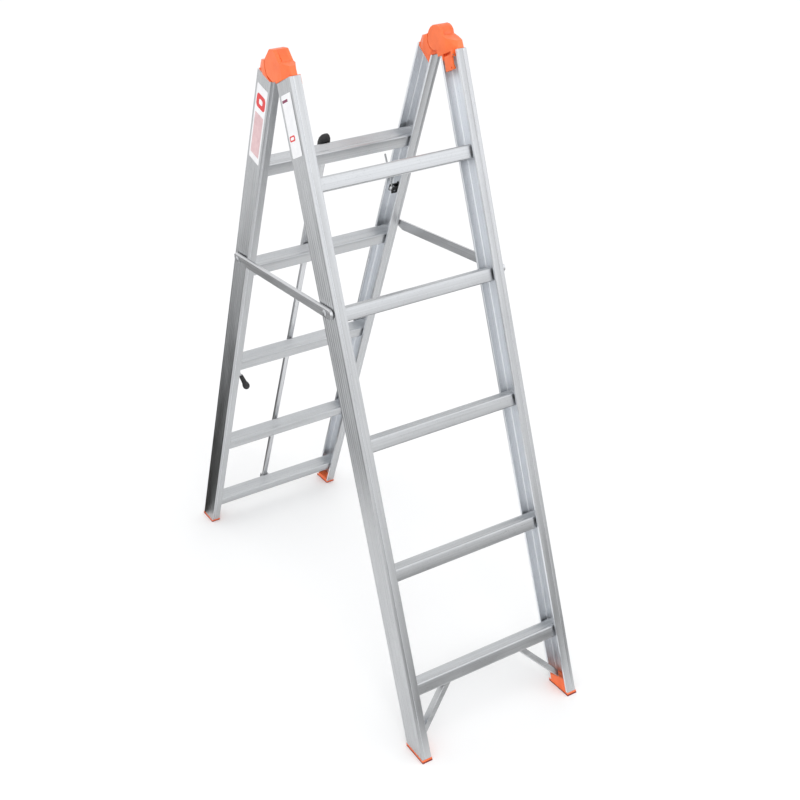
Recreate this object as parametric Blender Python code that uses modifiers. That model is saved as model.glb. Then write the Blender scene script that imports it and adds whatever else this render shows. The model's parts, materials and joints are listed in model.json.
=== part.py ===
"""Multi position ladder: two five-rung sections hinged at the top, held apart by two spreader stays.

Metres, Z up, the floor at Z = 0, X across the rungs, the front section towards -Y.
Each section is built in its own frame at the hinge axis: s runs down the stiles from the axis,
w runs outwards from the face on which the two sections meet when folded.
"""

import math

import bmesh
import bpy

# Stance
LEAN = math.radians(20.66)
HINGE_Z = 1.5164
HALF_WIDTH = 0.2236
TAPER = 0.00975
GAP = 0.0003

# Stile channel
STILE_DEPTH = 0.0625
FLANGE = 0.027
WALL = 0.0022
LIP = 0.006
STILE_TOPS = {-1: 0.0372, 1: 0.0420}
STILE_CUT_Z = 0.0078
RIB_COUNT = 6
RIB_DEPTH = 0.0008

# Rungs, as distances down the stiles from the hinge axis
FRONT_RUNGS = (0.2607, 0.5422, 0.8459, 1.1636, 1.4607)
REAR_RUNGS = (0.2684, 0.5647, 0.9073, 1.2538, 1.5397)
RUNG_DEPTH = 0.041
RUNG_HEIGHT = 0.032
RUNG_WALL = 0.0022
RUNG_CORNER = 0.005
RUNG_MID = STILE_DEPTH / 2

# Feet
FOOT_TOP = 1.597
REAR_FOOT_TOP_Z = 0.0160
FOOT_OVERHANG = 0.0008
SOLE_TOP_Z = 0.0032
PLATE_TOP_Z = 0.0075

# Hinge caps, keyed by side: -1 the left, 1 the right
CAP_OUTER = 0.2265
CAP_INNER = 0.190
PROW_SPAN = (0.2035, 0.2185)
CHEEK = 0.009
KNUCKLE_RADII = {-1: 0.0335, 1: 0.0270}
KNUCKLE_GAP = 0.0006
KNUCKLE_NECK = 0.0010
SEAM_W = 0.0005
KNUCKLE_TURNS = {
    -1: (3.0, -51.5, -87.2, -138.8, -164.6, -201.8, -249.3),
    1: (4.0, -18.0, -36.0, -54.0, -72.0, -90.0, -108.0, -126.0, -144.0, -170.0, -200.0, -225.0,
        -249.3),
}
SHOULDERS = {-1: ((0.0386, 0.0070), (0.0600, 0.0165)), 1: ((0.0386, 0.0120), (0.0600, 0.0245))}
SHOULDER_FOOT_W = (0.0320, 0.0615)
REAR_PLUG_S = (0.0665, 0.0470)
FRONT_PLUG_S = 0.0475
PIN_RADIUS = 0.005
LATCH_W = (0.0190, 0.0475)
LATCH_AXIS_X = 0.1945
LATCH_AXIS_S = 0.0505
LATCH_END = 0.0800
LATCH_PIN_RADIUS = 0.0015

# Spreader stays
STAY_Z = 1.033
STAY_INNER_X = 0.2312
STAY_THICK = 0.007
STAY_HALF = 0.0125
STAY_FRONT_END = 0.026
STAY_REAR_END = 0.019
STUD_RADIUS = 0.004

# Corner braces
BRACE_RUNG_X = 0.112
BRACE_STILE_S = 1.585
BRACE_WIDTH = 0.014
BRACE_DEPTH = 0.020

# Prop bar on the back of the rear section
PROP_X = -0.0175
PROP_W = 0.0621
PROP_RADIUS = 0.0085
PROP_HEAD_HALF = 0.0135
PROP_HEAD_SHIFT = 0.0065
PROP_LEAN = -0.0065
PROP_HEAD_TOP = 0.268
PROP_HEAD_BOTTOM = 0.60
PROP_CAP_TOP = 0.238
PROP_AXIS_S = 1.5397
PROP_TAIL = ((-0.0081, 0.0024), (-0.0068, 0.0050), (-0.0046, 0.0070), (-0.0016, 0.0082))

# Locking levers inside the rear stiles
GRIP_AXIS = (-0.1965, 0.9385)
GRIP_TURN = math.radians(24.5)
GRIP_LENGTH = 0.098
ROD_AXIS = (0.2050, 0.4200)
ROD_TURN = math.radians(24.5)
ROD_LENGTH = 0.124

FRONT = -1
REAR = 1


def clear_scene():
    for obj in list(bpy.data.objects):
        bpy.data.objects.remove(obj, do_unlink=True)


def new_collection(name):
    collection = bpy.data.collections.new(name)
    bpy.context.scene.collection.children.link(collection)
    return collection


def new_material(name, colour, metallic, roughness):
    material = bpy.data.materials.new(name)
    material.use_nodes = True
    shader = material.node_tree.nodes["Principled BSDF"]
    shader.inputs["Base Color"].default_value = (*colour, 1.0)
    shader.inputs["Metallic"].default_value = metallic
    shader.inputs["Roughness"].default_value = roughness
    material.diffuse_color = (*colour, 1.0)
    return material


def new_empty(name, location, turn=0.0):
    empty = bpy.data.objects.new(name, None)
    empty.location = location
    empty.rotation_euler = (turn, 0.0, 0.0)
    LADDER.objects.link(empty)
    return empty


def finish(obj, mesh_data, parent):
    """Turns the faces outwards and puts the object under its parent."""
    bmesh.ops.recalc_face_normals(mesh_data, faces=mesh_data.faces)
    mesh_data.to_mesh(obj.data)
    mesh_data.free()
    obj.parent = parent
    return obj


def new_object(name, material, collection=None):
    mesh = bpy.data.meshes.new(name)
    obj = bpy.data.objects.new(name, mesh)
    if material is not None:
        mesh.materials.append(material)
    (collection or LADDER).objects.link(obj)
    if collection is not None:
        obj.hide_render = True
        obj.display_type = "WIRE"
    return obj


def loft(name, rings, material, parent=None, collection=None):
    """A solid through closed rings of equal length; the first and the last are its ends."""
    obj = new_object(name, material, collection)
    data = bmesh.new()
    made = [[data.verts.new(point) for point in ring] for ring in rings]
    for lower, upper in zip(made, made[1:]):
        count = len(lower)
        for i in range(count):
            j = (i + 1) % count
            data.faces.new((lower[i], lower[j], upper[j], upper[i]))
    data.faces.new(made[0])
    data.faces.new(reversed(made[-1]))
    return finish(obj, data, parent)


def tube(name, outer_ends, inner_ends, material, parent):
    """A pipe between two ends; each end is an outer and an inner ring of equal length."""
    obj = new_object(name, material)
    data = bmesh.new()
    outer = [[data.verts.new(point) for point in ring] for ring in outer_ends]
    inner = [[data.verts.new(point) for point in ring] for ring in inner_ends]
    count = len(outer[0])
    for i in range(count):
        j = (i + 1) % count
        data.faces.new((outer[0][i], outer[0][j], outer[1][j], outer[1][i]))
        data.faces.new((inner[0][j], inner[0][i], inner[1][i], inner[1][j]))
        data.faces.new((outer[0][j], outer[0][i], inner[0][i], inner[0][j]))
        data.faces.new((outer[1][i], outer[1][j], inner[1][j], inner[1][i]))
    return finish(obj, data, parent)


def boolean(target, cutter, operation="DIFFERENCE"):
    modifier = target.modifiers.new(operation.lower(), "BOOLEAN")
    modifier.operation = operation
    modifier.solver = "EXACT"
    modifier.object = cutter


def bevel(obj, width, segments=2):
    modifier = obj.modifiers.new("bevel", "BEVEL")
    modifier.width = width
    modifier.segments = segments
    modifier.limit_method = "ANGLE"
    modifier.angle_limit = math.radians(35)


def helper_loft(name, rings, parent):
    return loft(name, rings, None, parent, HELPERS)


def local(x, s, w, section):
    """A point of a section's own frame."""
    return (x, section * w, -s)


def outer_x(s):
    return HALF_WIDTH + TAPER * s


def floor_s(w, z):
    """How far down the stile the level at height z lies, at depth w."""
    return (HINGE_Z - z + math.sin(LEAN) * w) / math.cos(LEAN)


def circle(radius, count=24, start=0.0):
    step = 2 * math.pi / count
    return [(radius * math.cos(start + i * step), radius * math.sin(start + i * step)) for i in range(count)]


def rounded_box(width, height, radius, count=4):
    """Corner arcs of a box centred on its own middle, anticlockwise from the lower right."""
    points = []
    for corner, (sx, sy) in enumerate(((1, -1), (1, 1), (-1, 1), (-1, -1))):
        cx = sx * (width / 2 - radius)
        cy = sy * (height / 2 - radius)
        for i in range(count + 1):
            angle = math.radians(-90 + 90 * corner + 90 * i / count)
            points.append((cx + radius * math.cos(angle), cy + radius * math.sin(angle)))
    return points


def rod_x(name, radius, x0, x1, s, w, section, material, parent, collection=None, count=24):
    """A round bar along X."""
    rings = [
        [local(x, s + b, w + a, section) for a, b in circle(radius, count)] for x in (x0, x1)
    ]
    return loft(name, rings, material, parent, collection)


def box(name, x_range, s_range, w_range, section, material, parent, collection=None):
    rings = [
        [
            local(x_range[0], s, w_range[0], section),
            local(x_range[1], s, w_range[0], section),
            local(x_range[1], s, w_range[1], section),
            local(x_range[0], s, w_range[1], section),
        ]
        for s in s_range
    ]
    return loft(name, rings, material, parent, collection)


def web_profile():
    """The stile's outer wall as (depth in from the outer face, w), with grooves along it."""
    d = STILE_DEPTH
    outside = [(WALL, 0.0), (0.0012, 0.0), (0.0, 0.0012)]
    pitch = d / (RIB_COUNT + 1)
    for i in range(1, RIB_COUNT + 1):
        middle = i * pitch
        outside += [(0.0, middle - 0.0016), (RIB_DEPTH, middle - 0.0009)]
        outside += [(RIB_DEPTH, middle + 0.0009), (0.0, middle + 0.0016)]
    return outside + [(0.0, d - 0.0012), (0.0012, d), (WALL, d)]


def flange_profile():
    """A side wall with its returned lip and the line along its face, for the wall at w = 0."""
    face = [(WALL + GAP, 0.0), (0.0080, 0.0), (0.0085, 0.0006), (0.0100, 0.0006), (0.0105, 0.0)]
    lip = [(FLANGE, 0.0), (FLANGE, LIP), (FLANGE - WALL, LIP), (FLANGE - WALL, WALL)]
    return face + lip + [(WALL + GAP, WALL)]


def stile_wall(name, side, section, profile, parent):
    """One wall of a stile, cut square at the top and level at the foot."""
    start = STILE_TOPS[side]
    top = [local(side * (outer_x(start) - d), start, w, section) for d, w in profile]
    bottom = level_ring(side, section, profile, STILE_CUT_Z)
    return loft(name, [top, bottom], ALUMINIUM, parent)


def stile(name, side, section, parent):
    """A channel in three walls, so that its inside stays open: web, inner and outer flange."""
    web = stile_wall(name, side, section, web_profile(), parent)
    stay_s, stay_w = stay_point()
    hole = rod_x(
        name + "_hole", STUD_RADIUS + 0.0002, side * 0.215, side * 0.24,
        stay_s, stay_w, section, None, parent, HELPERS,
    )
    boolean(web, hole)
    near = flange_profile()
    far = [(d, STILE_DEPTH - w) for d, w in near]
    stile_wall(name + "_inner_flange", side, section, near, parent)
    stile_wall(name + "_outer_flange", side, section, far, parent)


def stay_point():
    """Where the stays are fixed on a stile: mid-depth, at the stays' height."""
    w = STILE_DEPTH / 2
    return floor_s(w, STAY_Z), w


def rung_profile():
    """The rung's section as (w, s) about its middle, with grooves along its tread."""
    half_w = RUNG_DEPTH / 2
    half_s = RUNG_HEIGHT / 2
    points = [(half_w - RUNG_CORNER, half_s), (half_w, half_s - RUNG_CORNER)]
    for angle in (0, 30, 60, 90):
        turn = math.radians(angle)
        reach = RUNG_CORNER
        points.append(
            (half_w - reach + reach * math.cos(turn), -half_s + reach - reach * math.sin(turn))
        )
    for i in range(6):
        middle = half_w - RUNG_CORNER - 0.0028 - i * 0.0050
        points += [(middle + 0.0011, -half_s), (middle + 0.0005, -half_s + 0.0009)]
        points += [(middle - 0.0005, -half_s + 0.0009), (middle - 0.0011, -half_s)]
    for angle in (90, 60, 30, 0):
        turn = math.radians(angle)
        reach = RUNG_CORNER
        points.append(
            (-half_w + reach - reach * math.cos(turn), -half_s + reach - reach * math.sin(turn))
        )
    points += [(-half_w, half_s - RUNG_CORNER), (-half_w + RUNG_CORNER, half_s)]
    return points


def rung(name, s, section, parent):
    reach = outer_x(s - RUNG_HEIGHT / 2) - WALL - GAP
    shrink_w = (RUNG_DEPTH - 2 * RUNG_WALL) / RUNG_DEPTH
    shrink_s = (RUNG_HEIGHT - 2 * RUNG_WALL) / RUNG_HEIGHT
    outer = []
    inner = []
    for x in (-reach, reach):
        outer.append([local(x, s + b, RUNG_MID + a, section) for a, b in rung_profile()])
        inner.append(
            [local(x, s + b * shrink_s, RUNG_MID + a * shrink_w, section) for a, b in rung_profile()]
        )
    return tube(name, outer, inner, ALUMINIUM, parent)


def level_ring(side, section, outline, z):
    """An outline of (depth, w) points laid at height z."""
    ring = []
    for d, w in outline:
        s = floor_s(w, z)
        ring.append(local(side * (outer_x(s) - d), s, w, section))
    return ring


def foot(name, side, section, parent):
    """Plug in the stile's end with a plate under it; the rear plugs are low."""
    g = GAP
    near = WALL + g
    far = FLANGE - WALL - g
    d = STILE_DEPTH
    plug = [(near, near), (far, near), (far, LIP + g), (FLANGE, LIP + g)]
    plug += [(FLANGE, d - LIP - g), (far, d - LIP - g), (far, d - near), (near, d - near)]
    if section == FRONT:
        top = [local(side * (outer_x(FOOT_TOP) - a), FOOT_TOP, w, section) for a, w in plug]
    else:
        top = level_ring(side, section, plug, REAR_FOOT_TOP_Z)
    bottom = level_ring(side, section, plug, SOLE_TOP_Z + GAP + 0.001)
    obj = loft(name, [top, bottom], ORANGE, parent)
    plate = plate_outline(FOOT_OVERHANG)
    rings = [level_ring(side, section, plate, z) for z in (PLATE_TOP_Z, SOLE_TOP_Z + GAP)]
    boolean(obj, helper_loft(name + "_plate", rings, parent), "UNION")
    return obj


def plate_outline(grow):
    return [
        (-grow, -grow), (FLANGE + grow, -grow),
        (FLANGE + grow, STILE_DEPTH + grow), (-grow, STILE_DEPTH + grow),
    ]


def sole(name, side, section, parent):
    outline = plate_outline(FOOT_OVERHANG)
    rings = [level_ring(side, section, outline, z) for z in (SOLE_TOP_Z, 0.0)]
    return loft(name, rings, RUBBER_RED, parent)


def cap_outline(side, foot_w, shoulder):
    """Shoulder on the stile's end and knuckle about the hinge axis, as (w, s)."""
    radius = KNUCKLE_RADII[side]
    foot_s = STILE_TOPS[side] - GAP
    points = [(foot_w, foot_s), shoulder]
    for i, degrees in enumerate(KNUCKLE_TURNS[side]):
        turn = math.radians(degrees)
        reach = radius if i else radius - KNUCKLE_NECK
        points.append((reach * math.cos(turn), reach * math.sin(turn)))
    return points + [(SEAM_W, radius - KNUCKLE_NECK), (SEAM_W, foot_s)]


def knuckle_cutters(name, side, section, parent):
    """Room for the other half's knuckle: the middle for the front half, both cheeks for the rear."""
    inner_edge = CAP_INNER + CHEEK
    outer_edge = CAP_OUTER - CHEEK
    slack = GAP / 2
    if section == FRONT:
        spans = [(inner_edge - slack, outer_edge + slack)]
    else:
        spans = [(CAP_INNER - 0.005, inner_edge + slack), (outer_edge - slack, CAP_OUTER + 0.005)]
    return [
        rod_x(f"{name}_room{i}", KNUCKLE_RADII[side] + KNUCKLE_GAP, side * a, side * b, 0.0, 0.0,
              section, None, parent, HELPERS, 56)
        for i, (a, b) in enumerate(spans)
    ]


def cap_body(name, side, section, parent):
    """The cap's outer form: narrow at both cheeks, wide between them like a prow."""
    narrow, wide = SHOULDERS[side]
    stations = (
        (CAP_INNER, SHOULDER_FOOT_W[0], narrow), (PROW_SPAN[0], SHOULDER_FOOT_W[1], wide),
        (PROW_SPAN[1], SHOULDER_FOOT_W[1], wide), (CAP_OUTER, SHOULDER_FOOT_W[0], narrow),
    )
    rings = []
    for x, foot_w, shoulder in stations:
        outline = cap_outline(side, foot_w, shoulder)
        rings.append([local(side * x, s, w, section) for w, s in outline])
    return loft(name, rings, ORANGE, parent)


def cap_plug(name, side, section, parent):
    """The part of a cap that goes down inside the stile."""
    near = WALL + GAP
    far = FLANGE - WALL - GAP
    low_w, high_w = near, STILE_DEPTH - near
    low_s, high_s = (FRONT_PLUG_S, FRONT_PLUG_S) if section == FRONT else REAR_PLUG_S
    start = STILE_TOPS[side] - 0.0015
    rings = []
    for depth in (near, far):
        outline = [(low_w, start), (high_w, start), (high_w, high_s), (low_w, low_s)]
        rings.append([local(side * (outer_x(s) - depth), s, w, section) for w, s in outline])
    return helper_loft(name + "_plug", rings, parent)


def latch_ears(name, side, parent):
    """Two ears on the inner side of a front cap that carry the latch's pin."""
    start = STILE_TOPS[side] - 0.003
    inner, outer = LATCH_W
    spans = ((inner - 0.0038, inner - 0.0004), (outer + 0.0004, outer + 0.0038))
    return [
        box(f"{name}_ear{i}", (side * 0.1908, side * 0.2050), (start, 0.0535), span, FRONT, None,
            parent, HELPERS)
        for i, span in enumerate(spans)
    ]


def cap_half(name, side, section, parent):
    obj = cap_body(name, side, section, parent)
    bevel(obj, 0.0010, 1)
    boolean(obj, cap_plug(name, side, section, parent), "UNION")
    if section == FRONT:
        for ear in latch_ears(name, side, parent):
            boolean(obj, ear, "UNION")
    for cutter in knuckle_cutters(name, side, section, parent):
        boolean(obj, cutter)
    boolean(obj, rod_x(name + "_bore", PIN_RADIUS + GAP, side * (CAP_INNER + 0.0018),
                       side * (CAP_OUTER - 0.0018), 0.0, 0.0, section, None, parent, HELPERS, 32))
    if section == FRONT:
        boolean(obj, rod_w(name + "_latch_bore", LATCH_PIN_RADIUS + 0.0002,
                           LATCH_W[0] - 0.006, LATCH_W[1] + 0.006, side * LATCH_AXIS_X,
                           LATCH_AXIS_S, section, None, parent, HELPERS))
    return obj


def rod_w(name, radius, w0, w1, x, s, section, material, parent, collection=None, count=16):
    """A round bar along a section's depth."""
    rings = [
        [local(x + a, s + b, w, section) for a, b in circle(radius, count)] for w in (w0, w1)
    ]
    return loft(name, rings, material, parent, collection)


def latch(name, side, parent):
    """Tab that swings into the channel about a pin under the hinge cap."""
    x = side * LATCH_AXIS_X
    turn = new_empty(name + "_axis", local(x, LATCH_AXIS_S, sum(LATCH_W) / 2, FRONT))
    turn.parent = parent
    half = (LATCH_W[1] - LATCH_W[0]) / 2
    face = side * 0.0026
    profile = [
        (-face, -0.0030), (face, -0.0030), (face, 0.0200), (face * 1.9, 0.0262),
        (face * 1.9, LATCH_END - LATCH_AXIS_S), (-face, LATCH_END - LATCH_AXIS_S),
    ]
    rings = [[(a, w, -b) for a, b in profile] for w in (-half, half)]
    obj = loft(name, rings, ORANGE, turn)
    bevel(obj, 0.0008, 2)
    bore = [[(a, w, -b) for a, b in circle(LATCH_PIN_RADIUS + 0.0002, 16)] for w in (-0.03, 0.03)]
    boolean(obj, helper_loft(name + "_bore", bore, turn))
    hole = [[(x_at, -half + 0.0055 + a, -(0.0250 + b)) for a, b in circle(0.0022, 16)]
            for x_at in (-0.01, 0.01)]
    boolean(obj, helper_loft(name + "_hole", hole, turn))
    rod_w(name + "_pin", LATCH_PIN_RADIUS, LATCH_W[0] - 0.0036, LATCH_W[1] + 0.0036, x,
          LATCH_AXIS_S, FRONT, STEEL, parent)
    return obj


def brace(name, side, parent):
    """Flat strut from the lowest front rung's underside to the stile's inner side."""
    top_s = FRONT_RUNGS[-1] + RUNG_HEIGHT / 2 + GAP
    x_top = BRACE_RUNG_X
    x_low = outer_x(BRACE_STILE_S) - FLANGE - GAP
    run = x_low - x_top
    drop = BRACE_STILE_S - top_s
    across = BRACE_WIDTH / math.sin(math.atan2(drop, run))
    along = BRACE_WIDTH / math.cos(math.atan2(drop, run))
    outline = [
        (x_top - across / 2, top_s), (x_top + across / 2, top_s),
        (x_low, BRACE_STILE_S - along / 2), (x_low, BRACE_STILE_S + along / 2),
    ]
    w0 = RUNG_MID - BRACE_DEPTH / 2
    rings = [[local(side * x, s, w, FRONT) for x, s in outline] for w in (w0, w0 + BRACE_DEPTH)]
    obj = loft(name, rings, ALUMINIUM, parent)
    bevel(obj, 0.0008, 1)
    return obj


def stay_outline():
    """The stay's side view as (along, up) about its pivot, with the hook's open throat."""
    length = stay_length()
    h = STAY_HALF
    points = []
    for i in range(9):
        turn = math.radians(270 - 22.5 * i)
        points.append((-STAY_FRONT_END + h + h * math.cos(turn), h * math.sin(turn)))
    points += [(length + STAY_REAR_END - 0.005, h), (length + STAY_REAR_END, h - 0.005)]
    points += [(length + STAY_REAR_END - 0.002, -h + 0.004), (length + STAY_REAR_END - 0.006, -h)]
    points += [(length + 0.0046, -h), (length + 0.0046, 0.0022), (length + 0.0022, 0.0045)]
    points += [(length - 0.0022, 0.0047), (length - 0.0060, 0.0035)]
    points += [(length - 0.0250, -0.0040), (length - 0.0480, -h)]
    return points


def stay_length():
    s, w = stay_point()
    reach = math.hypot(s, w)
    angle = LEAN + math.atan2(w, s)
    return 2 * reach * math.sin(angle)


def stay(name, side):
    """Spreader bar riveted to the front stile and hooked over a stud on the rear stile."""
    pivot = new_empty(name + "_axis", (side * STAY_INNER_X, -stay_length() / 2, STAY_Z))
    outline = stay_outline()
    edge = 0.0028
    rings = []
    for x, inset in ((0.0, 0.0), (STAY_THICK - edge, 0.0), (STAY_THICK, edge)):
        ring = []
        for along, up in outline:
            shrink = 1.0 - inset / STAY_HALF
            ring.append((side * x, along, up * shrink if abs(up) > 0.009 else up))
        rings.append(ring)
    obj = loft(name, rings, ALUMINIUM, pivot)
    bore = [[(x, a, b) for a, b in circle(STUD_RADIUS + 0.0002, 24)] for x in (-0.02, 0.02)]
    boolean(obj, helper_loft(name + "_bore", bore, pivot))
    return obj


def headed_pin(name, side, section, parent, head_radius):
    """Shank through the web with a domed head outside the stay."""
    s, w = stay_point()
    web = outer_x(s) - WALL + 0.0003
    outside = STAY_INNER_X + STAY_THICK + GAP
    steps = (
        (web, STUD_RADIUS), (outside, STUD_RADIUS), (outside, head_radius),
        (outside + 0.0014, head_radius), (outside + 0.0026, head_radius * 0.62),
    )
    rings = [
        [local(side * x, s + b, w + a, section) for a, b in circle(radius, 24)]
        for x, radius in steps
    ]
    return loft(name, rings, STEEL, parent)


def prop_head_x(up):
    """Middle of the broad head, which sits a little to the left of the bar."""
    return -PROP_LEAN * up - PROP_HEAD_SHIFT


def prop(parent):
    """Swing-out prop: round bar, broad head and rubber cap, on a pin in a bracket on rung 5."""
    axis = new_empty("prop_axis", local(PROP_X, PROP_AXIS_S, PROP_W, REAR))
    axis.parent = parent
    bar_top = PROP_AXIS_S - PROP_HEAD_BOTTOM + 0.02
    rings = []
    for up, radius in PROP_TAIL + ((bar_top, PROP_RADIUS),):
        rings.append([(a - PROP_LEAN * up, b, up) for a, b in circle(radius, 20)])
    bar = loft("prop_bar", rings, ALUMINIUM, axis)
    head_top = PROP_AXIS_S - PROP_HEAD_TOP
    head_low = PROP_AXIS_S - PROP_HEAD_BOTTOM
    outline = rounded_box(2 * PROP_HEAD_HALF, 0.0165, 0.007)
    rings = [[(a + prop_head_x(up), b, up) for a, b in outline] for up in (head_low, head_top)]
    boolean(bar, helper_loft("prop_bar_head", rings, axis), "UNION")
    bore = [[(x, a, b) for a, b in circle(0.0032, 16)] for x in (-0.02, 0.02)]
    boolean(bar, helper_loft("prop_bar_bore", bore, axis))
    prop_cap(axis, head_top)
    return bar


def prop_cap(axis, head_top):
    """Rounded rubber cap on the head's end."""
    rings = []
    base = head_top + GAP
    for up, half, thick, corner in (
        (0.0, 0.0148, 0.0185, 0.006), (0.010, 0.0150, 0.0190, 0.006),
        (0.0200, 0.0136, 0.0175, 0.006), (0.0265, 0.0100, 0.0130, 0.005),
        (0.0297, 0.0055, 0.0070, 0.003),
    ):
        outline = rounded_box(2 * half, thick, corner)
        centre = prop_head_x(base + up) + 0.25 * (0.015 - half)
        rings.append([(a + centre, b, base + up) for a, b in outline])
    loft("prop_cap", rings, RUBBER, axis)


def prop_fittings(parent):
    """Bracket and pin on rung 5, clip on rung 1."""
    back = RUNG_MID + RUNG_DEPTH / 2 + GAP
    half = PROP_RADIUS + 0.0006
    base = box("prop_bracket", (PROP_X - half - 0.004, PROP_X + half + 0.004),
               (PROP_AXIS_S - 0.012, PROP_AXIS_S + 0.012), (back, back + 0.0012),
               REAR, STEEL, parent)
    cheeks = []
    for i, side in enumerate((-1, 1)):
        span = sorted((PROP_X + side * half, PROP_X + side * (half + 0.003)))
        cheeks.append(box(f"prop_bracket_cheek{i}", span,
                          (PROP_AXIS_S - 0.009, PROP_AXIS_S + 0.009),
                          (back + 0.0006, PROP_W + 0.007), REAR, None, parent, HELPERS))
        boolean(base, cheeks[-1], "UNION")
    boolean(base, rod_x("prop_bracket_bore", 0.0032, PROP_X - 0.02, PROP_X + 0.02, PROP_AXIS_S,
                        PROP_W, REAR, None, parent, HELPERS, 16))
    rod_x("prop_pin", 0.0029, PROP_X - half - 0.0045, PROP_X + half + 0.0045, PROP_AXIS_S,
          PROP_W, REAR, STEEL, parent, None, 16)
    centre = PROP_X + prop_head_x(PROP_AXIS_S - REAR_RUNGS[0] - 0.012)
    reach = PROP_HEAD_HALF + 0.0018
    clip = box("prop_clip", (centre - reach - 0.0022, centre + reach + 0.0022),
               (REAR_RUNGS[0] + 0.002, REAR_RUNGS[0] + 0.0145), (back, PROP_W + 0.0050),
               REAR, ORANGE, parent)
    room = box("prop_clip_room", (centre - reach, centre + reach),
               (REAR_RUNGS[0] - 0.01, REAR_RUNGS[0] + 0.03), (back + 0.0010, PROP_W + 0.02),
               REAR, None, parent, HELPERS)
    boolean(clip, room)


def swing(name, where, parent):
    """Frame of a lever that turns about the rear section's depth."""
    axis = new_empty(name, local(where[0], where[1], RUNG_MID, REAR))
    axis.parent = parent
    return axis


def turned(points, turn):
    """Points of (x, depth, down) turned about the depth axis, down leaning towards +X."""
    cos, sin = math.cos(turn), math.sin(turn)
    return [(x * cos + down * sin, depth, -(down * cos - x * sin)) for x, depth, down in points]


def bar_rings(steps, turn, count=16):
    return [
        turned([(a, b, down) for a, b in circle(radius, count)], turn) for down, radius in steps
    ]


def grip_lever(parent):
    """Rubber-gripped lever under rear rung 3, on a lug that hangs from the rung."""
    axis = swing("lever_axis", GRIP_AXIS, parent)
    steel = ((-0.0032, 0.0030), (0.0, 0.0034), (0.030, 0.0030))
    lever = loft("lever_rod", bar_rings(steel, GRIP_TURN), STEEL, axis)
    bore = [[(a, depth, b) for a, b in circle(0.0018, 12)] for depth in (-0.01, 0.01)]
    boolean(lever, helper_loft("lever_rod_bore", bore, axis))
    end = GRIP_LENGTH
    steps = (
        (0.0304, 0.0042), (0.0340, 0.0058), (end - 0.026, 0.0076), (end - 0.018, 0.0096),
        (end - 0.008, 0.0104), (end - 0.002, 0.0086), (end, 0.0050),
    )
    loft("lever_grip", bar_rings(steps, GRIP_TURN), RUBBER, axis)
    lug(parent)


def lug(parent):
    """Two cheeks under rear rung 3 with the lever's pin."""
    x, s = GRIP_AXIS
    under = REAR_RUNGS[2] + RUNG_HEIGHT / 2 + GAP
    base = box("lever_lug", (x - 0.007, x + 0.007), (under, under + 0.0016),
               (RUNG_MID - 0.0075, RUNG_MID + 0.0075), REAR, STEEL, parent)
    for i, side in enumerate((-1, 1)):
        span = sorted((RUNG_MID + side * 0.0045, RUNG_MID + side * 0.0072))
        cheek = box(f"lever_lug_cheek{i}", (x - 0.0055, x + 0.0055), (under + 0.0008, s + 0.005),
                    span, REAR, None, parent, HELPERS)
        boolean(base, cheek, "UNION")
    boolean(base, rod_w("lever_lug_bore", 0.0018, RUNG_MID - 0.01, RUNG_MID + 0.01, x, s, REAR,
                        None, parent, HELPERS, 12))
    rod_w("lever_pin", 0.0015, RUNG_MID - 0.0085, RUNG_MID + 0.0085, x, s, REAR, STEEL, parent)


def lock_rod(parent):
    """Thin rod standing up from a boss in the right rear stile."""
    axis = swing("rod_axis", ROD_AXIS, parent)
    turn = math.pi - ROD_TURN
    steps = ((0.0068, 0.0024), (ROD_LENGTH - 0.002, 0.0024), (ROD_LENGTH, 0.0014))
    rod = loft("lock_rod", bar_rings(steps, -turn, 12), STEEL, axis)
    collar = [[(a, depth, b) for a, b in circle(0.0078, 20)] for depth in (-0.004, 0.004)]
    boolean(rod, helper_loft("lock_rod_collar", collar, axis), "UNION")
    bore = [[(a, depth, b) for a, b in circle(0.0028, 16)] for depth in (-0.01, 0.01)]
    boolean(rod, helper_loft("lock_rod_bore", bore, axis))
    boss(parent)


def boss(parent):
    """Black block on the web that carries the rod's pin."""
    x, s = ROD_AXIS
    face = outer_x(s - 0.011) - WALL - GAP
    body = box("rod_boss", (face - 0.003, face), (s - 0.011, s + 0.011),
               (RUNG_MID - 0.010, RUNG_MID + 0.010), REAR, RUBBER, parent)
    for i, side in enumerate((-1, 1)):
        span = sorted((RUNG_MID + side * 0.0045, RUNG_MID + side * 0.0090))
        cheek = box(f"rod_boss_cheek{i}", (x - 0.0060, face - 0.001), (s - 0.0080, s + 0.0080),
                    span, REAR, None, parent, HELPERS)
        boolean(body, cheek, "UNION")
    boolean(body, rod_w("rod_boss_bore", 0.0028, RUNG_MID - 0.012, RUNG_MID + 0.012, x, s, REAR,
                        None, parent, HELPERS, 16))
    rod_w("rod_pin", 0.0025, RUNG_MID - 0.0095, RUNG_MID + 0.0095, x, s, REAR, STEEL, parent)


def build_section(tag, section, parent, rungs):
    for side, letter in ((-1, "left"), (1, "right")):
        stile(f"{tag}_stile_{letter}", side, section, parent)
        foot(f"{tag}_foot_{letter}", side, section, parent)
        sole(f"{tag}_sole_{letter}", side, section, parent)
        cap_half(f"{tag}_cap_{letter}", side, section, parent)
    for number, s in enumerate(rungs, 1):
        rung(f"{tag}_rung_{number}", s, section, parent)


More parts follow.
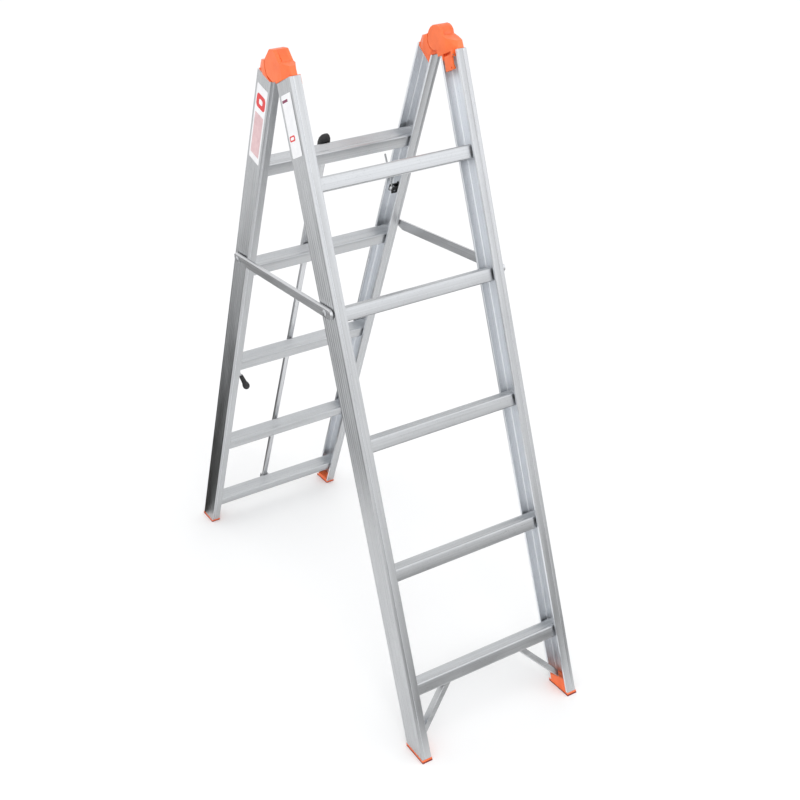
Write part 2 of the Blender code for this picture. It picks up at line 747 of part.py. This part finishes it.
def build():
    front = new_empty("front_section", (0.0, 0.0, HINGE_Z), -LEAN)
    rear = new_empty("rear_section", (0.0, 0.0, HINGE_Z), LEAN)
    build_section("front", FRONT, front, FRONT_RUNGS)
    build_section("rear", REAR, rear, REAR_RUNGS)
    for side, letter in ((-1, "left"), (1, "right")):
        rod_x(f"hinge_pin_{letter}", PIN_RADIUS, side * (CAP_INNER + 0.0022),
              side * (CAP_OUTER - 0.0022), 0.0, 0.0, FRONT, STEEL, front)
        latch(f"latch_{letter}", side, front)
        brace(f"brace_{letter}", side, front)
        stay(f"stay_{letter}", side)
        headed_pin(f"stay_rivet_{letter}", side, FRONT, front, 0.0085)
        headed_pin(f"stay_stud_{letter}", side, REAR, rear, 0.0075)
    prop(rear)
    prop_fittings(rear)
    grip_lever(rear)
    lock_rod(rear)


clear_scene()
LADDER = new_collection("multi_position_ladder")
HELPERS = new_collection("helpers")
ALUMINIUM = new_material("extruded_aluminium", (0.62, 0.64, 0.66), 1.0, 0.38)
ORANGE = new_material("orange_plastic", (0.86, 0.16, 0.03), 0.0, 0.45)
RUBBER = new_material("black_rubber", (0.015, 0.015, 0.016), 0.0, 0.7)
RUBBER_RED = new_material("sole_rubber", (0.20, 0.02, 0.015), 0.0, 0.75)
STEEL = new_material("zinc_plated_steel", (0.55, 0.56, 0.58), 1.0, 0.3)
build()
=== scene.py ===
import json
import math

import bmesh
import bpy
from mathutils import Matrix, Vector


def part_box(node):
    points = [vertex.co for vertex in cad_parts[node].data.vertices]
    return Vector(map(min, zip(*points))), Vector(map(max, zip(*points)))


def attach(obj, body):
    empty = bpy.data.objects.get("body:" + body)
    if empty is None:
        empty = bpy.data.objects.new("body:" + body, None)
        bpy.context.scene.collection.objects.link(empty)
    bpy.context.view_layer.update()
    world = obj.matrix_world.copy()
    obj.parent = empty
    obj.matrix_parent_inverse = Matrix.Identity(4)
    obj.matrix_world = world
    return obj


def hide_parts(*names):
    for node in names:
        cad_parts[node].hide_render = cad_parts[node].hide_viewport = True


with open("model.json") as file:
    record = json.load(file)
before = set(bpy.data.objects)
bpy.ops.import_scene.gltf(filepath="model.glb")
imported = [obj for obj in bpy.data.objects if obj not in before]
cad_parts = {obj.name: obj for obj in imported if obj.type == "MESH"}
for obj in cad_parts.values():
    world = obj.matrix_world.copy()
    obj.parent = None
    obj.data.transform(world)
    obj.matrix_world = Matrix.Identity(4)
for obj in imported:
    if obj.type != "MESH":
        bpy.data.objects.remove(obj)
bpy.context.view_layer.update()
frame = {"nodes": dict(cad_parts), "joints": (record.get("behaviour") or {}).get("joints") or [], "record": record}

# Dimensions of the two sections, in metres. s runs down a stile from the hinge axis, w runs
# outwards from the face on which the sections meet when folded, and d runs in from the outer
# face of a stile's web.
JOINTS = {joint["name"]: joint for joint in frame["joints"]}
HINGE_Z = JOINTS["main_hinge"]["pos_m"][2]
LEVER_AXIS = JOINTS["lever_pivot"]["axis"]
LEAN = math.atan2(LEVER_AXIS[2], LEVER_AXIS[1])
HALF_WIDTH = 0.2236
TAPER = 0.00975
STILE_DEPTH = 0.0625
FLANGE = 0.027
WALL = 0.0022
LIP = 0.006
STILE_TOPS = {-1: 0.0372, 1: 0.0420}
STILE_CUT_Z = 0.0078
GAP = 0.0003
FRONT_RUNGS = (0.2607, 0.5422, 0.8459, 1.1636, 1.4607)
REAR_RUNGS = (0.2684, 0.5647, 0.9073, 1.2538, 1.5397)
RUNG_DEPTH = 0.041
RUNG_HEIGHT = 0.032
RUNG_WALL = 0.0022
RUNG_MID = STILE_DEPTH / 2
WEB_GROOVES = 6
FLANGE_LINE_W = 0.0092
TREAD_GROOVES = 7
TREAD_START = 0.0118
TREAD_PITCH = 0.0036
STAY_Z = 1.033
STAY_OUTER_X = 0.2382
STAY_SHANK = 0.004
GRIP_START = 0.0304
GRIP_LENGTH = 0.098
GRIP_TURN = math.radians(24.5)
RIDGE_PITCH = 0.0040
FLAG_TURN = math.radians(27.0)
FILM_THICKNESS = 0.00012
WELD_DISTANCE = 3e-6
FLAT_ANGLE = math.radians(0.8)
SQUARE = ((-1, -1), (1, -1), (1, 1), (-1, 1))
FRONT = -1
REAR = 1
SECTIONS = {"front": FRONT, "rear": REAR}
SIDES = {"left": -1, "right": 1}
PLACES = {
    section: Matrix.Translation((0.0, 0.0, HINGE_Z)) @ Matrix.Rotation(section * LEAN, 4, "X")
    for section in (FRONT, REAR)
}
BODIES = {FRONT: "front_section", REAR: "rear_section"}
BODY_OF = {
    node: body for body, nodes in frame["record"]["behaviour"]["bodies"].items() for node in nodes
}
SLOT_OF = {item["node"]: item["material_slot"] for item in frame["record"]["subparts"]}


# ---------------------------------------------------------------- camera, floor and lights
def add_camera():
    yaw, pitch, roll = (math.radians(a) for a in (22.944, -32.453, -5.336))
    level = math.cos(pitch)
    ahead = Vector((math.sin(yaw) * level, math.cos(yaw) * level, math.sin(pitch)))
    right = ahead.cross(Vector((0.0, 0.0, 1.0))).normalized()
    up = right.cross(ahead)
    rolled_right = right * math.cos(roll) + up * math.sin(roll)
    rolled_up = up * math.cos(roll) - right * math.sin(roll)
    data = bpy.data.cameras.new("camera")
    data.lens = 43.70
    data.sensor_width = 36.0
    data.shift_x = 0.2196
    data.shift_y = 0.1015
    data.clip_end = 200.0
    camera = bpy.data.objects.new("camera", data)
    basis = Matrix((rolled_right, rolled_up, -ahead)).transposed().to_4x4()
    camera.matrix_world = Matrix.Translation((-1.2507, -1.9543, 1.8887)) @ basis
    bpy.context.scene.collection.objects.link(camera)
    bpy.context.scene.camera = camera


def add_area(name, position, target, size, power, colour=(1.0, 1.0, 1.0)):
    data = bpy.data.lights.new(name, "AREA")
    data.shape = "RECTANGLE"
    data.size, data.size_y = size
    data.energy = power
    data.color = colour
    light = bpy.data.objects.new(name, data)
    light.location = position
    aim = Vector(target) - Vector(position)
    light.rotation_euler = aim.to_track_quat("-Z", "Y").to_euler()
    bpy.context.scene.collection.objects.link(light)


def add_world():
    world = bpy.data.worlds.new("studio")
    world.use_nodes = True
    background = world.node_tree.nodes["Background"]
    background.inputs["Color"].default_value = (0.99, 0.995, 1.0, 1.0)
    background.inputs["Strength"].default_value = 1.08
    bpy.context.scene.world = world
    bpy.context.scene.view_settings.view_transform = "Standard"


def add_floor():
    mesh = bpy.data.meshes.new("floor")
    reach = 40.0
    corners = [(x * reach, y * reach, 0.0) for x, y in SQUARE]
    mesh.from_pydata(corners, [], [(0, 1, 2, 3)])
    floor = bpy.data.objects.new("floor", mesh)
    bpy.context.scene.collection.objects.link(floor)
    material, shader, _ = new_material("floor_paint")
    shader.inputs["Base Color"].default_value = (0.95, 0.95, 0.95, 1.0)
    shader.inputs["Roughness"].default_value = 0.8
    mesh.materials.append(material)


def add_card(name, centre, target, size, colour, strength, turn=0.0):
    """A studio card that shows only in reflections: bright as a softbox, dark as a flag."""
    corners = [(x * size[0] / 2, y * size[1] / 2, 0.0) for x, y in SQUARE]
    mesh = bpy.data.meshes.new(name)
    mesh.from_pydata(corners, [], [(0, 1, 2, 3)])
    card = bpy.data.objects.new(name, mesh)
    card.location = centre
    aim = (Vector(target) - Vector(centre)).to_track_quat("Z", "Y").to_matrix()
    card.rotation_euler = (aim @ Matrix.Rotation(turn, 3, "Z")).to_euler()
    bpy.context.scene.collection.objects.link(card)
    material, shader, _ = new_material(name)
    shader.inputs["Base Color"].default_value = (0.0, 0.0, 0.0, 1.0)
    shader.inputs["Specular IOR Level"].default_value = 0.0
    shader.inputs["Emission Color"].default_value = (*colour, 1.0)
    shader.inputs["Emission Strength"].default_value = strength
    mesh.materials.append(material)
    card.visible_camera = False
    card.visible_diffuse = False
    card.visible_shadow = False
    card.visible_transmission = False


def add_lights():
    """One soft key light, one bright card, and dark cards on the floor facing up."""
    add_area("key", (-1.8, -3.6, 4.2), (0.0, -0.2, 0.7), (2.4, 2.0), 38.0)
    add_card("softbox", (1.75, -2.6, 2.6), (0.0, -0.1, 1.1), (2.6, 2.0),
             (0.97, 0.98, 1.0), 1.65)
    add_card("flag_rear", (-0.95, 1.95, 0.004), (-0.95, 1.95, 2.0), (0.95, 3.0),
             (1.0, 1.0, 0.84), 0.02, FLAG_TURN)
    add_card("flag_left", (-1.66, 2.28, 0.002), (-1.66, 2.28, 2.0), (1.15, 4.0),
             (0.96, 0.98, 1.0), 0.36, FLAG_TURN)
    add_card("flag_front", (0.9, -2.1, 0.004), (0.9, -2.1, 2.0), (3.2, 2.4),
             (1.0, 1.0, 1.0), 0.22)


# ---------------------------------------------------------------- materials
def new_material(name):
    material = bpy.data.materials.new(name)
    material.use_nodes = True
    tree = material.node_tree
    return material, tree.nodes["Principled BSDF"], tree


def object_coordinates(tree, scale):
    source = tree.nodes.new("ShaderNodeTexCoord")
    mapping = tree.nodes.new("ShaderNodeMapping")
    mapping.inputs["Scale"].default_value = scale
    tree.links.new(source.outputs["Object"], mapping.inputs["Vector"])
    return mapping.outputs["Vector"]


def noise(tree, vector, scale, detail=3.0, roughness=0.55):
    node = tree.nodes.new("ShaderNodeTexNoise")
    node.inputs["Scale"].default_value = scale
    node.inputs["Detail"].default_value = detail
    node.inputs["Roughness"].default_value = roughness
    tree.links.new(vector, node.inputs["Vector"])
    return node.outputs["Fac"]


def ramp(tree, value, stops):
    """A colour ramp; each stop is (position, colour), and one number as colour means grey."""
    node = tree.nodes.new("ShaderNodeValToRGB")
    elements = node.color_ramp.elements
    while len(elements) < len(stops):
        elements.new(0.5)
    for element, (position, colour) in zip(elements, stops):
        rgb = (colour,) * 3 if isinstance(colour, float) else colour
        element.position = position
        element.color = (*rgb, 1.0)
    tree.links.new(value, node.inputs["Fac"])
    return node.outputs["Color"]


def multiplied(tree, first, second):
    node = tree.nodes.new("ShaderNodeMix")
    node.data_type = "RGBA"
    node.blend_type = "MULTIPLY"
    node.inputs["Factor"].default_value = 1.0
    tree.links.new(first, node.inputs["A"])
    tree.links.new(second, node.inputs["B"])
    return node.outputs["Result"]


def bumped(tree, shader, height, strength, distance):
    node = tree.nodes.new("ShaderNodeBump")
    node.inputs["Strength"].default_value = strength
    node.inputs["Distance"].default_value = distance
    tree.links.new(height, node.inputs["Height"])
    tree.links.new(node.outputs["Normal"], shader.inputs["Normal"])


def aluminium(name, along, low=(0.53, 0.54, 0.552), high=(0.62, 0.632, 0.645),
              rough=(0.30, 0.42)):
    """Mill-finish extrusion: die lines along one axis, cloudy oxide and faint handling marks."""
    material, shader, tree = new_material(name)
    stretch = [420.0, 420.0, 420.0]
    stretch["XYZ".index(along)] = 2.2
    lines = noise(tree, object_coordinates(tree, stretch), 1.0, 4.0, 0.6)
    drawn = [34.0, 34.0, 34.0]
    drawn["XYZ".index(along)] = 5.0
    clouds = noise(tree, object_coordinates(tree, drawn), 1.0, 5.0, 0.62)
    specks = noise(tree, object_coordinates(tree, (1.0, 1.0, 1.0)), 260.0, 2.0, 0.5)
    tint = ramp(tree, clouds, [(0.30, low), (0.72, high)])
    streak = ramp(tree, lines, [(0.32, 0.84), (0.66, 1.0)])
    dust = ramp(tree, specks, [(0.28, 0.90), (0.40, 1.0)])
    worked = multiplied(tree, tint, streak)
    tree.links.new(multiplied(tree, worked, dust), shader.inputs["Base Color"])
    soft = ramp(tree, clouds, [(0.30, rough[0]), (0.70, rough[1])])
    grain = ramp(tree, lines, [(0.30, 0.85), (0.70, 1.12)])
    tree.links.new(multiplied(tree, soft, grain), shader.inputs["Roughness"])
    shader.inputs["Metallic"].default_value = 1.0
    bumped(tree, shader, lines, 0.16, 0.00012)
    return material


def plastic(name, dark, light, rough=(0.36, 0.50), grain=1400.0, depth=0.00006):
    """Moulded plastic or rubber: fine spark-eroded grain, slow colour drift, scuffed gloss."""
    material, shader, tree = new_material(name)
    plain = object_coordinates(tree, (1.0, 1.0, 1.0))
    drift = noise(tree, plain, 22.0, 4.0, 0.6)
    fine = noise(tree, plain, grain, 2.0, 0.5)
    scuff = noise(tree, object_coordinates(tree, (1.0, 1.0, 3.5)), 75.0, 5.0, 0.68)
    tree.links.new(ramp(tree, drift, [(0.28, dark), (0.70, light)]), shader.inputs["Base Color"])
    gloss = ramp(tree, scuff, [(0.35, rough[0]), (0.72, rough[1])])
    tree.links.new(gloss, shader.inputs["Roughness"])
    bumped(tree, shader, fine, 0.30, depth)
    return material


def zinc(name):
    """Bright zinc plate with a fine crystalline mottle."""
    material, shader, tree = new_material(name)
    plain = object_coordinates(tree, (1.0, 1.0, 1.0))
    mottle = noise(tree, plain, 480.0, 3.0, 0.6)
    drift = noise(tree, plain, 60.0, 3.0, 0.5)
    tint = ramp(tree, drift, [(0.3, (0.46, 0.47, 0.48)), (0.7, (0.62, 0.63, 0.65))])
    tree.links.new(tint, shader.inputs["Base Color"])
    tree.links.new(ramp(tree, mottle, [(0.3, 0.22), (0.7, 0.42)]), shader.inputs["Roughness"])
    shader.inputs["Metallic"].default_value = 1.0
    bumped(tree, shader, mottle, 0.12, 0.00005)
    return material


def printed(name, dark, light):
    """Printed vinyl film with a satin face and slight unevenness."""
    material, shader, tree = new_material(name)
    plain = object_coordinates(tree, (1.0, 1.0, 1.0))
    wave = noise(tree, plain, 60.0, 4.0, 0.6)
    tree.links.new(ramp(tree, wave, [(0.30, dark), (0.65, light)]), shader.inputs["Base Color"])
    tree.links.new(ramp(tree, wave, [(0.3, 0.30), (0.7, 0.44)]), shader.inputs["Roughness"])
    bumped(tree, shader, wave, 0.10, 0.0001)
    return material


# ---------------------------------------------------------------- mesh helpers
def outer_x(s):
    return HALF_WIDTH + TAPER * s


def floor_s(w, z):
    return (HINGE_Z - z + math.sin(LEAN) * w) / math.cos(LEAN)


def local(x, s, w, section):
    return (x, section * w, -s)


def circle(radius, count=32):
    step = 2 * math.pi / count
    return [(radius * math.cos(i * step), radius * math.sin(i * step)) for i in range(count)]


def skin(rings):
    """Vertices and faces of a solid through rings of equal length, with a cap on each end."""
    count = len(rings[0])
    points = [tuple(point) for ring in rings for point in ring]
    faces = []
    for level in range(len(rings) - 1):
        for i in range(count):
            j = (i + 1) % count
            base = level * count
            faces.append((base + i, base + j, base + count + j, base + count + i))
    faces.append(tuple(range(count))[::-1])
    faces.append(tuple(range((len(rings) - 1) * count, len(rings) * count)))
    return points, faces


def new_piece(name, points, faces, place, material, body, crease=32.0):
    """A mesh object in a section's or a joint's own frame that rides on a body."""
    mesh = bpy.data.meshes.new(name)
    mesh.from_pydata(points, [], faces)
    data = bmesh.new()
    data.from_mesh(mesh)
    bmesh.ops.recalc_face_normals(data, faces=data.faces)
    data.to_mesh(mesh)
    data.free()
    mesh.shade_smooth()
    mesh.set_sharp_from_angle(angle=math.radians(crease))
    mesh.materials.append(material)
    piece = bpy.data.objects.new(name, mesh)
    piece.matrix_world = place
    bpy.context.scene.collection.objects.link(piece)
    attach(piece, body)
    return piece


def softened(node, place, material, width, segments=3, angle=28.0):
    """A CAD node's shape with its edges rounded, shown in the node's place."""
    data = bmesh.new()
    data.from_mesh(frame["nodes"][node].data)
    bmesh.ops.transform(data, matrix=place.inverted(), verts=data.verts)
    bmesh.ops.remove_doubles(data, verts=data.verts, dist=WELD_DISTANCE)
    bmesh.ops.dissolve_limit(data, angle_limit=FLAT_ANGLE, verts=data.verts, edges=data.edges)
    data.verts.ensure_lookup_table()
    data.verts.index_update()
    points = [tuple(v.co) for v in data.verts]
    faces = [tuple(v.index for v in face.verts) for face in data.faces]
    data.free()
    name = node + "_look"
    piece = new_piece(name, points, faces, place, material, BODY_OF[node], 180.0)
    edge = piece.modifiers.new("edge", "BEVEL")
    edge.width = width
    edge.segments = segments
    edge.limit_method = "ANGLE"
    edge.angle_limit = math.radians(angle)
    edge.harden_normals = True
    edge.use_clamp_overlap = True
    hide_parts(node)


# ---------------------------------------------------------------- stiles
def arc(centre, radius, start, end, count=4):
    """Points of a corner arc, angles in degrees."""
    points = []
    for i in range(count + 1):
        turn = math.radians(start + (end - start) * i / count)
        points.append((centre[0] + radius * math.cos(turn), centre[1] + radius * math.sin(turn)))
    return points


def groove(middle, half, depth, along_web):
    """A soft valley across the web, or across a flange, as (d, w) points."""
    shape = ((-1.0, 0.0), (-0.62, 0.30), (-0.30, 0.86), (0.0, 1.0), (0.30, 0.86),
             (0.62, 0.30), (1.0, 0.0))
    if along_web:
        return [(depth * b, middle + half * a) for a, b in shape]
    return [(middle - half * a, depth * b) for a, b in shape]


def stile_profile():
    """The channel's section as (d, w): grooved web, two flanges with a line each, returned lips."""
    depth = STILE_DEPTH
    corner, edge, inner_corner, lip_corner = 0.0016, 0.0007, 0.0014, 0.0012
    line = groove(FLANGE_LINE_W, 0.0011, 0.0007, False)
    outside = [(FLANGE - edge, 0.0)]
    outside += line
    outside += arc((corner, corner), corner, 270, 180)
    pitch = depth / (WEB_GROOVES + 1)
    for i in range(1, WEB_GROOVES + 1):
        outside += groove(i * pitch, 0.0021, 0.0009, True)
    outside += arc((corner, depth - corner), corner, 180, 90)
    outside += [(d, depth - w) for d, w in reversed(line)]
    outside += [(FLANGE - edge, depth)]
    far = FLANGE - WALL
    outer_lip = [(FLANGE, depth - edge), (FLANGE, depth - LIP + edge)]
    outer_lip += [(FLANGE - edge, depth - LIP), (far, depth - LIP)]
    outer_lip += [(far, depth - WALL - lip_corner), (far - lip_corner, depth - WALL)]
    inside = [(WALL + inner_corner, depth - WALL), (WALL, depth - WALL - inner_corner)]
    inside += [(WALL, WALL + inner_corner), (WALL + inner_corner, WALL)]
    inner_lip = [(far - lip_corner, WALL), (far, WALL + lip_corner), (far, LIP)]
    inner_lip += [(FLANGE - edge, LIP), (FLANGE, LIP - edge), (FLANGE, edge)]
    return outside + outer_lip + inside + inner_lip


def paint_light_inside(piece, material, section, side):
    """The inside of a channel, its lips included, in a much lighter copy of the same metal: painted light, not a
    different finish.
    """
    mesh = piece.data
    mesh.materials.append(material)
    for face in mesh.polygons:
        x, y, z = face.center
        d = outer_x(-z) - side * x
        w = section * y
        behind_web = d > WALL - 0.0004
        off_outer_faces = 0.0006 < w < STILE_DEPTH - 0.0006
        if behind_web and off_outer_faces:
            face.material_index = 1


def add_stile(tag, letter, material, inside):
    section, side = SECTIONS[tag], SIDES[letter]
    start = STILE_TOPS[side]
    rings = []
    levels = 14
    for level in range(levels + 1):
        ring = []
        for d, w in stile_profile():
            end = floor_s(w, STILE_CUT_Z)
            s = start + (end - start) * level / levels
            ring.append(local(side * (outer_x(s) - d), s, w, section))
        rings.append(ring)
    points, faces = skin(rings)
    name = f"{tag}_stile_{letter}"
    piece = new_piece(name + "_look", points, faces, PLACES[section], material, BODIES[section],
                      30.0)
    # The channel's inner faces get the lighter copy of the metal: painted light.
    paint_light_inside(piece, inside, section, side)
    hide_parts(name, name + "_inner_flange", name + "_outer_flange")


# ---------------------------------------------------------------- rungs
def rung_profile():
    """Outer section as (w, s) about the middle: smooth nose and heel, serrated tread between."""
    half_w, half_s = RUNG_DEPTH / 2, RUNG_HEIGHT / 2
    big, small = 0.0050, 0.0028
    points = arc((half_w - small, half_s - small), small, 90, 0, 4)
    points += arc((half_w - big, -half_s + big), big, 0, -90, 7)
    for i in range(TREAD_GROOVES):
        middle = TREAD_START - i * TREAD_PITCH
        for offset, depth in ((0.0015, 0.0), (0.0010, 0.0003), (0.0004, 0.0010), (-0.0004, 0.0010),
                              (-0.0010, 0.0003), (-0.0015, 0.0)):
            points.append((middle + offset, -half_s + depth))
    points += arc((-half_w + big, -half_s + big), big, 270, 180, 7)
    points += arc((-half_w + small, half_s - small), small, 180, 90, 4)
    return points


def add_rung(tag, number, s, material):
    """A rung as an open tube: the outer surface, the bore and a rim at each end."""
    section = SECTIONS[tag]
    name = f"{tag}_rung_{number}"
    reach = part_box(name)[1].x
    shrink_w = (RUNG_DEPTH - 2 * RUNG_WALL) / RUNG_DEPTH
    shrink_s = (RUNG_HEIGHT - 2 * RUNG_WALL) / RUNG_HEIGHT
    outer = rung_profile()
    bore = [(a * shrink_w, b * shrink_s) for a, b in outer]
    rings = ((-reach, outer), (reach, outer), (reach, bore), (-reach, bore))
    points = [local(x, s + b, RUNG_MID + a, section) for x, ring in rings for a, b in ring]
    count = len(outer)
    faces = []
    for level in range(len(rings)):
        near, far = level * count, (level + 1) % len(rings) * count
        for i in range(count):
            j = (i + 1) % count
            faces.append((near + i, near + j, far + j, far + i))
    piece = new_piece(name + "_look", points, faces, PLACES[section], material, BODIES[section],
                      34.0)
    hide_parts(name)


# ---------------------------------------------------------------- fasteners and small parts
def lathe(name, steps, place, material, body, count=32):
    """A turned piece about its own Z axis; steps are (height, radius)."""
    rings = [[(a, b, height) for a, b in circle(radius, count)] for height, radius in steps]
    points, faces = skin(rings)
    return new_piece(name, points, faces, place, material, body, 40.0)


def facing_x(section, side, x, s, w):
    """A frame on a section whose Z axis points outwards along X."""
    spin = Matrix.Rotation(side * math.pi / 2, 4, "Y")
    return PLACES[section] @ Matrix.Translation(local(x, s, w, section)) @ spin


def rivet_steps(shank, head, start, seat):
    """Shank from start to seat, a thin washer, then a domed head."""
    steps = [(start, shank), (seat, shank), (seat, head), (seat + 0.0006, head + 0.0002)]
    steps += [(seat + 0.0009, head), (seat + 0.0010, head * 0.88)]
    for degrees in (20, 40, 60, 76):
        turn = math.radians(degrees)
        steps.append((seat + 0.0010 + 0.0017 * math.sin(turn), head * 0.86 * math.cos(turn)))
    return steps


def add_stay_fixings(letter, material):
    """The rivet and the stud on which a stay hangs, each headed outside the stay."""
    side = SIDES[letter]
    w = STILE_DEPTH / 2
    s = floor_s(w, STAY_Z)
    web = outer_x(s) - WALL + 0.0003
    for section, kind, head in ((FRONT, "stay_rivet", 0.0082), (REAR, "stay_stud", 0.0072)):
        node = f"{kind}_{letter}"
        place = facing_x(section, side, side * web, s, w)
        seat = STAY_OUTER_X + GAP - web
        steps = rivet_steps(STAY_SHANK, head, 0.0, seat)
        piece = lathe(node + "_look", steps, place, material, BODIES[section])
        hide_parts(node)


def add_grip(material):
    """Rubber grip of the lever with a row of finger ridges and a rounded end."""
    length = GRIP_LENGTH
    profile = [(GRIP_START, 0.0030), (GRIP_START + 0.0004, 0.0042), (0.0340, 0.0058)]
    down = 0.0380
    while down < length - 0.030:
        for offset, drop in ((0.0, 0.0), (0.0007, 0.0009), (0.0015, 0.0009), (0.0022, 0.0)):
            swell = 0.0060 + 0.0016 * (down - 0.034) / (length - 0.060)
            profile.append((down + offset, swell - drop))
        down += RIDGE_PITCH
    profile += [(length - 0.026, 0.0076), (length - 0.022, 0.0087), (length - 0.018, 0.0096)]
    profile += [(length - 0.013, 0.0103), (length - 0.008, 0.0104), (length - 0.005, 0.0098)]
    profile += [(length - 0.002, 0.0082), (length - 0.0005, 0.0060), (length, 0.0036)]
    pivot = Vector(JOINTS["lever_pivot"]["pos_m"])
    spin = Matrix.Rotation(-GRIP_TURN, 4, "Y") @ Matrix.Rotation(math.pi, 4, "X")
    place = Matrix.Translation(pivot) @ Matrix.Rotation(LEAN, 4, "X") @ spin
    piece = lathe("lever_grip_look", profile, place, material, "lever", 40)
    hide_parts("lever_grip")


# ---------------------------------------------------------------- labels
def rounded_rectangle(width, height, radius, count=6):
    points = []
    for corner, (sx, sy) in enumerate(((1, -1), (1, 1), (-1, 1), (-1, -1))):
        centre = (sx * (width / 2 - radius), sy * (height / 2 - radius))
        points += arc(centre, radius, -90 + 90 * corner, 90 * corner, count)
    return points


def add_film(name, section, centre, size, radius, lift, material):
    """A thin printed patch on a left stile's web; centre and size are (s, w)."""
    outline = rounded_rectangle(size[1], size[0], radius)
    rings = []
    for rise in (lift, lift + FILM_THICKNESS):
        ring = []
        for a, b in outline:
            s, w = centre[0] + b, centre[1] + a
            ring.append(local(-(outer_x(s) + rise), s, w, section))
        rings.append(ring)
    points, faces = skin(rings)
    new_piece(name, points, faces, PLACES[section], material, BODIES[section])


def add_films():
    """Plain printed patches on the outer faces of the two left stiles, with no lettering."""
    patches = (
        ("front_film", FRONT, (0.130, 0.031), (0.130, 0.044), 0.003, 0.00005, FILM),
        ("front_film_bar", FRONT, (0.078, 0.023), (0.0055, 0.024), 0.001, 0.00020, FILM_BAR),
        ("front_film_mark", FRONT, (0.155, 0.024), (0.0120, 0.024), 0.004, 0.00020, FILM_RED),
        ("front_film_centre", FRONT, (0.155, 0.024), (0.0060, 0.015), 0.002, 0.00035, FILM),
        ("rear_film", REAR, (0.1545, 0.0295), (0.181, 0.049), 0.003, 0.00005, FILM),
        ("rear_film_mark", REAR, (0.100, 0.0295), (0.032, 0.040), 0.009, 0.00020, FILM_RED),
        ("rear_film_centre", REAR, (0.100, 0.0295), (0.012, 0.016), 0.004, 0.00035, FILM),
        ("rear_film_field", REAR, (0.180, 0.0295), (0.100, 0.038), 0.002, 0.00020, FILM_PINK),
    )
    for name, section, centre, size, radius, lift, material in patches:
        add_film(name, section, centre, size, radius, lift, material)


def carried_over(materials):
    """Gives every CAD node that is still shown its finished material."""
    for node, obj in frame["nodes"].items():
        if obj.hide_render:
            continue
        obj.data.materials.clear()
        obj.data.materials.append(materials[SLOT_OF[node]])


# ---------------------------------------------------------------- build
add_camera()
add_world()
add_lights()
add_floor()
ALU_STILE = aluminium("stile_aluminium", "Z")
# A much lighter copy of the stile metal for the channel insides and lips: painted light.
ALU_INSIDE_PAINTED_LIGHT = aluminium("channel_aluminium_painted_light", "Z", (0.84, 0.86, 0.89), (0.90, 0.925, 0.955),
                       (0.34, 0.46))
ALU_RUNG = aluminium("rung_aluminium", "X")
ALU_STAY = aluminium("stay_aluminium", "Y", (0.62, 0.625, 0.64), (0.76, 0.765, 0.78))
ALU_BRACE = aluminium("brace_aluminium", "X", (0.52, 0.53, 0.54), (0.62, 0.63, 0.64))
ALU_PROP = aluminium("prop_aluminium", "Z", (0.68, 0.69, 0.705), (0.82, 0.83, 0.845))
FILM = printed("plain_film", (0.80, 0.80, 0.82), (0.88, 0.88, 0.89))
FILM_BAR = printed("film_bar", (0.16, 0.012, 0.055), (0.24, 0.020, 0.080))
FILM_RED = printed("film_red", (0.62, 0.020, 0.022), (0.75, 0.035, 0.035))
FILM_PINK = printed("film_pink", (0.62, 0.40, 0.42), (0.74, 0.52, 0.53))
ORANGE = plastic("orange_polypropylene", (0.84, 0.135, 0.028), (0.98, 0.190, 0.048))
BLACK = plastic("black_rubber", (0.010, 0.010, 0.011), (0.022, 0.022, 0.024), (0.45, 0.68))
RED = plastic("sole_rubber", (0.17, 0.012, 0.010), (0.26, 0.022, 0.016), (0.55, 0.75))
ZINC = zinc("zinc_plate")
for tag, section in SECTIONS.items():
    for letter in SIDES:
        add_stile(tag, letter, ALU_STILE, ALU_INSIDE_PAINTED_LIGHT)
        softened(f"{tag}_cap_{letter}", PLACES[section], ORANGE, 0.0011)
        softened(f"{tag}_foot_{letter}", PLACES[section], ORANGE, 0.0006, 2)
for number, s in enumerate(FRONT_RUNGS, 1):
    add_rung("front", number, s, ALU_RUNG)
for number, s in enumerate(REAR_RUNGS, 1):
    add_rung("rear", number, s, ALU_RUNG)
for letter in SIDES:
    add_stay_fixings(letter, ZINC)
    softened(f"stay_{letter}", Matrix.Identity(4), ALU_STAY, 0.0012, 3)
    softened(f"brace_{letter}", PLACES[FRONT], ALU_BRACE, 0.0006, 2)
    softened(f"latch_{letter}", PLACES[FRONT], ORANGE, 0.0005, 2)
    softened(f"hinge_pin_{letter}", PLACES[FRONT], ZINC, 0.0004, 2, 40.0)
softened("prop_bar", PLACES[REAR], ALU_PROP, 0.0007, 2, 40.0)
softened("prop_cap", PLACES[REAR], BLACK, 0.0010, 3)
softened("prop_clip", PLACES[REAR], ORANGE, 0.0007, 2)
softened("prop_bracket", PLACES[REAR], ZINC, 0.0005, 2)
add_grip(BLACK)
softened("lever_lug", PLACES[REAR], ZINC, 0.0004, 2)
softened("lock_rod", PLACES[REAR], ZINC, 0.0004, 2, 40.0)
softened("rod_boss", PLACES[REAR], BLACK, 0.0006, 2)
add_films()
carried_over({
    "aluminium": ALU_STAY, "orange_plastic": ORANGE, "black_rubber": BLACK, "sole_rubber": RED,
    "zinc_steel": ZINC,
})
